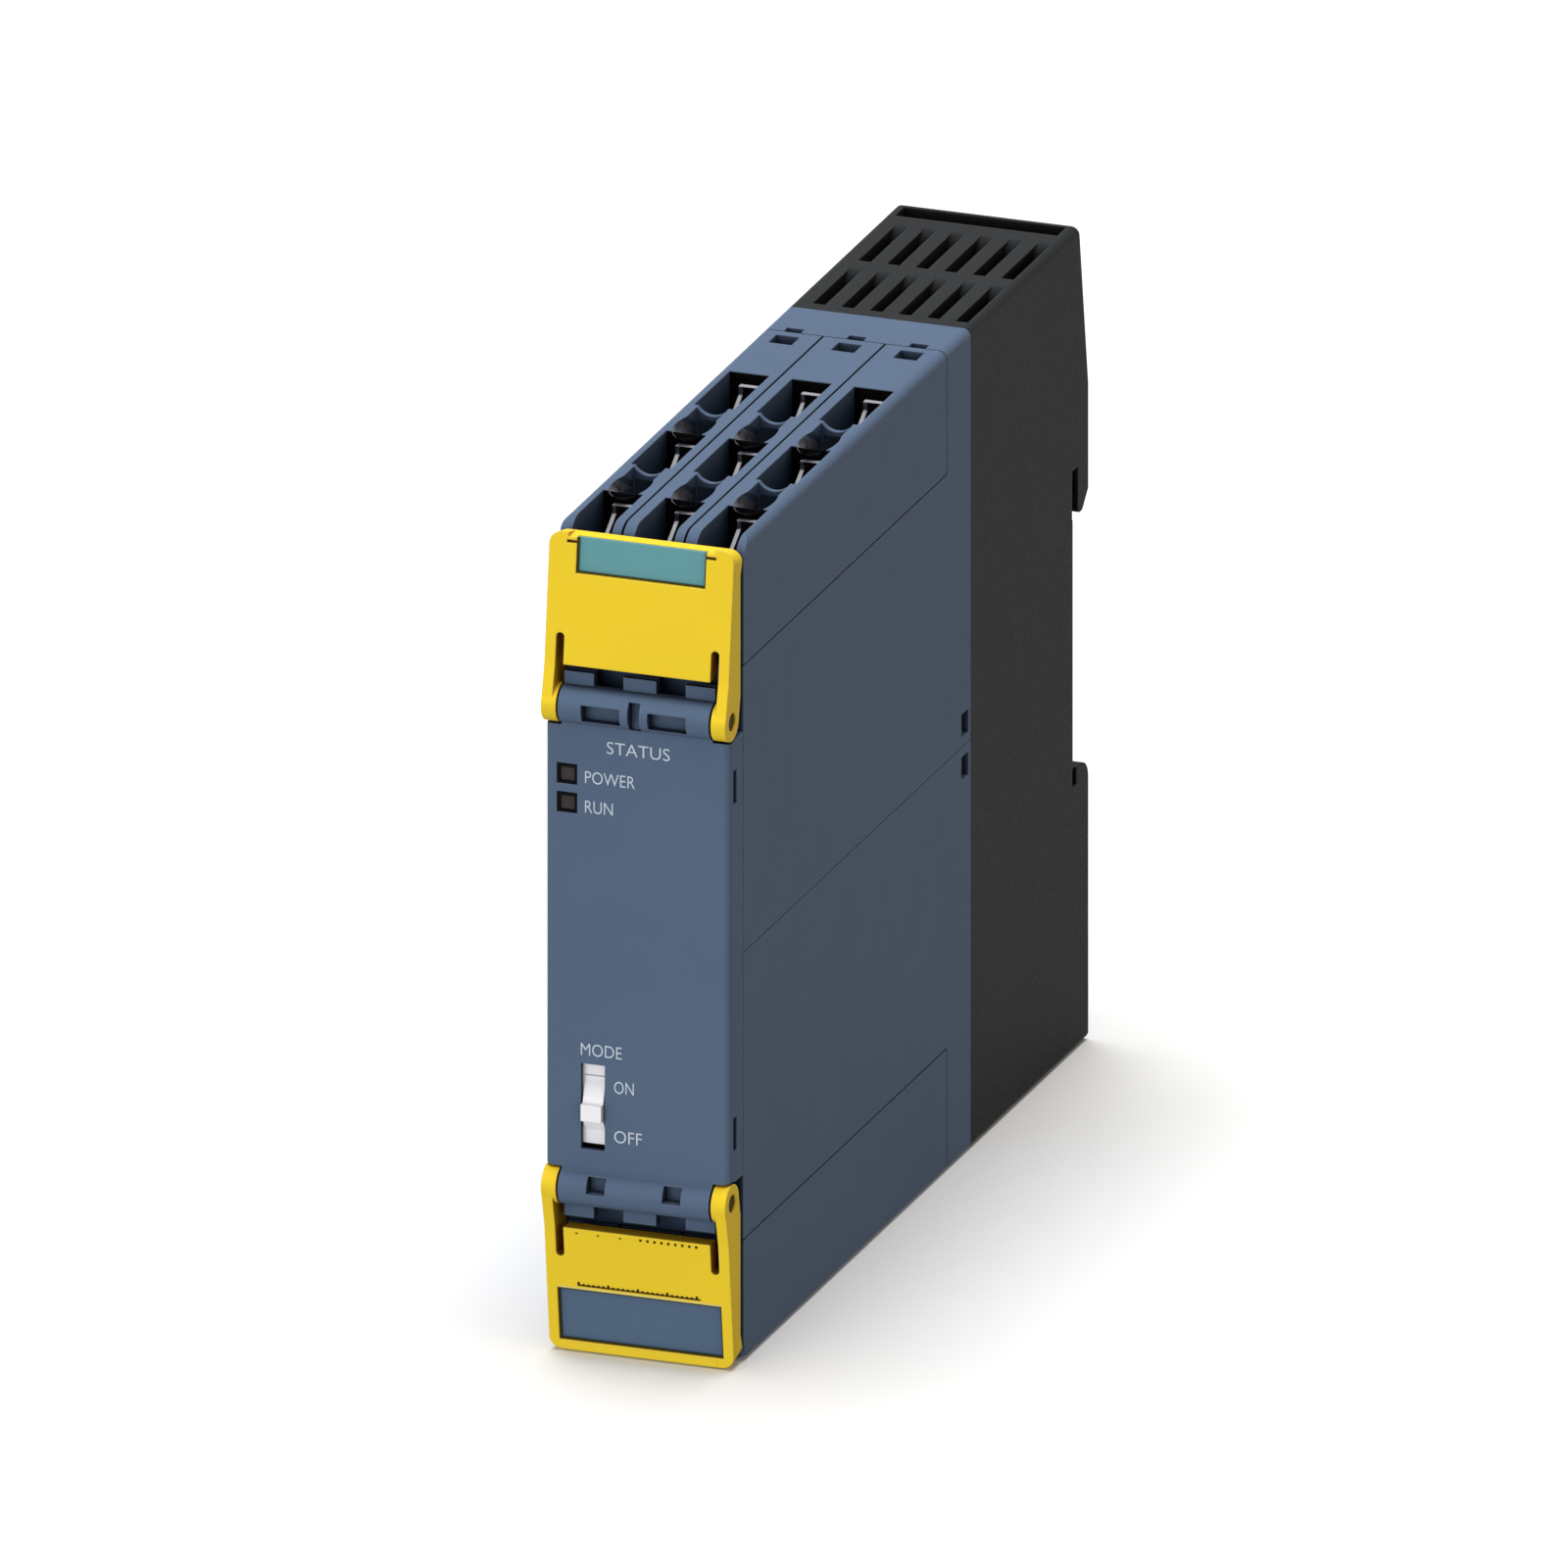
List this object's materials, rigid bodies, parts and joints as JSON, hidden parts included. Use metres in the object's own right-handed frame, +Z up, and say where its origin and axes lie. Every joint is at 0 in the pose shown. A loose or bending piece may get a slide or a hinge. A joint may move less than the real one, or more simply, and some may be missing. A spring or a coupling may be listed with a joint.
{
  "type": "safety relay",
  "caption": "Narrow rail-mounted safety relay with hinged terminal covers, plug-in terminal blocks, a slide switch and indicator windows.",
  "frame": {"origin": "under the middle of the outer box, on the face that the module stands on", "axes": "+X to the right as seen from the front, +Y from the front towards the rail, +Z up"},
  "size_m": [0.0226, 0.1216, 0.1],
  "materials": {
    "black_plastic": "fine moulded grain",
    "blue_plastic": "fine moulded grain",
    "blue_face": "fine moulded grain",
    "yellow_plastic": "satin moulded",
    "teal_label": "matt",
    "blue_label": "matt",
    "white_plastic": "satin moulded",
    "dark_plastic": "matt",
    "smoked_pipe": "gloss, smoked",
    "lamp_body": "gloss",
    "circuit_board": "satin solder mask",
    "relay_case": "satin",
    "core_steel": "dull laminated",
    "copper_winding": "enamelled wire",
    "capacitor_sleeve": "gloss sleeve over an aluminium can",
    "tinned_brass": "tinned",
    "zinc_steel": "zinc plated",
    "screw_steel": "zinc plated",
    "spring_steel": "blue spring steel"
  },
  "bodies": {
    "housing": {"rear_housing": "black_plastic", "upper_front_housing": "blue_plastic", "lower_front_housing": "blue_plastic", "front_plate": "blue_face", "switch_body": "dark_plastic", "upper_light_pipe": "smoked_pipe", "lower_light_pipe": "smoked_pipe", "indicator_lamps": "lamp_body", "front_board": "circuit_board", "main_board": "circuit_board", "relay_1": "relay_case", "relay_2": "relay_case", "relay_3": "relay_case", "transformer_core": "core_steel", "transformer_coil": "copper_winding", "large_capacitor": "capacitor_sleeve", "small_capacitor": "capacitor_sleeve", "logic_chips": "dark_plastic", "board_connector": "dark_plastic", "upper_header_strip": "dark_plastic", "lower_header_strip": "dark_plastic", "upper_contact_blades": "tinned_brass", "lower_contact_blades": "tinned_brass", "rail_spring": "spring_steel", "spring_retainer": "dark_plastic"},
    "upper_flap": {"upper_cover": "yellow_plastic", "upper_label_plate": "teal_label"},
    "lower_flap": {"lower_cover": "yellow_plastic", "lower_label_plate": "blue_label"},
    "slider": {"switch_slider": "white_plastic"},
    "pusher": {"rail_pusher": "zinc_steel"},
    "upper_block_1": {"upper_terminal_1": "blue_plastic", "upper_clamps_1": "zinc_steel", "upper_clamp_screws_1": "screw_steel"},
    "upper_block_2": {"upper_terminal_2": "blue_plastic", "upper_clamps_2": "zinc_steel", "upper_clamp_screws_2": "screw_steel"},
    "upper_block_3": {"upper_terminal_3": "blue_plastic", "upper_clamps_3": "zinc_steel", "upper_clamp_screws_3": "screw_steel"},
    "lower_block_1": {"lower_terminal_1": "blue_plastic", "lower_clamps_1": "zinc_steel", "lower_clamp_screws_1": "screw_steel"},
    "lower_block_2": {"lower_terminal_2": "blue_plastic", "lower_clamps_2": "zinc_steel", "lower_clamp_screws_2": "screw_steel"},
    "lower_block_3": {"lower_terminal_3": "blue_plastic", "lower_clamps_3": "zinc_steel", "lower_clamp_screws_3": "screw_steel"}
  },
  "joints": [
    {"name": "upper_cover_hinge", "type": "hinge", "parent": "housing", "child": "upper_flap", "pos_m": [0, -0.0585, 0.07935], "axis": [1, 0, 0], "range_deg": [0, 110]},
    {"name": "lower_cover_hinge", "type": "hinge", "parent": "housing", "child": "lower_flap", "pos_m": [0, -0.0585, 0.02065], "axis": [-1, 0, 0], "range_deg": [0, 110]},
    {"name": "mode_switch_slide", "type": "slide", "parent": "housing", "child": "slider", "axis": [0, 0, 1], "range_m": [-0.002, 0.002]},
    {"name": "rail_pusher_slide", "type": "slide", "parent": "housing", "child": "pusher", "axis": [0, 0, 1], "range_m": [0, 0.003], "stiffness_N_per_m": 150, "springref_m": -0.0015, "deforming": ["rail_spring"]},
    {"name": "upper_block_1_lift", "type": "slide", "parent": "housing", "child": "upper_block_1", "axis": [0, 0, 1], "range_m": [0, 0.016]},
    {"name": "upper_block_2_lift", "type": "slide", "parent": "housing", "child": "upper_block_2", "axis": [0, 0, 1], "range_m": [0, 0.016]},
    {"name": "upper_block_3_lift", "type": "slide", "parent": "housing", "child": "upper_block_3", "axis": [0, 0, 1], "range_m": [0, 0.016]},
    {"name": "lower_block_1_lift", "type": "slide", "parent": "housing", "child": "lower_block_1", "axis": [0, 0, -1], "range_m": [0, 0.016]},
    {"name": "lower_block_2_lift", "type": "slide", "parent": "housing", "child": "lower_block_2", "axis": [0, 0, -1], "range_m": [0, 0.016]},
    {"name": "lower_block_3_lift", "type": "slide", "parent": "housing", "child": "lower_block_3", "axis": [0, 0, -1], "range_m": [0, 0.016]}
  ]
}
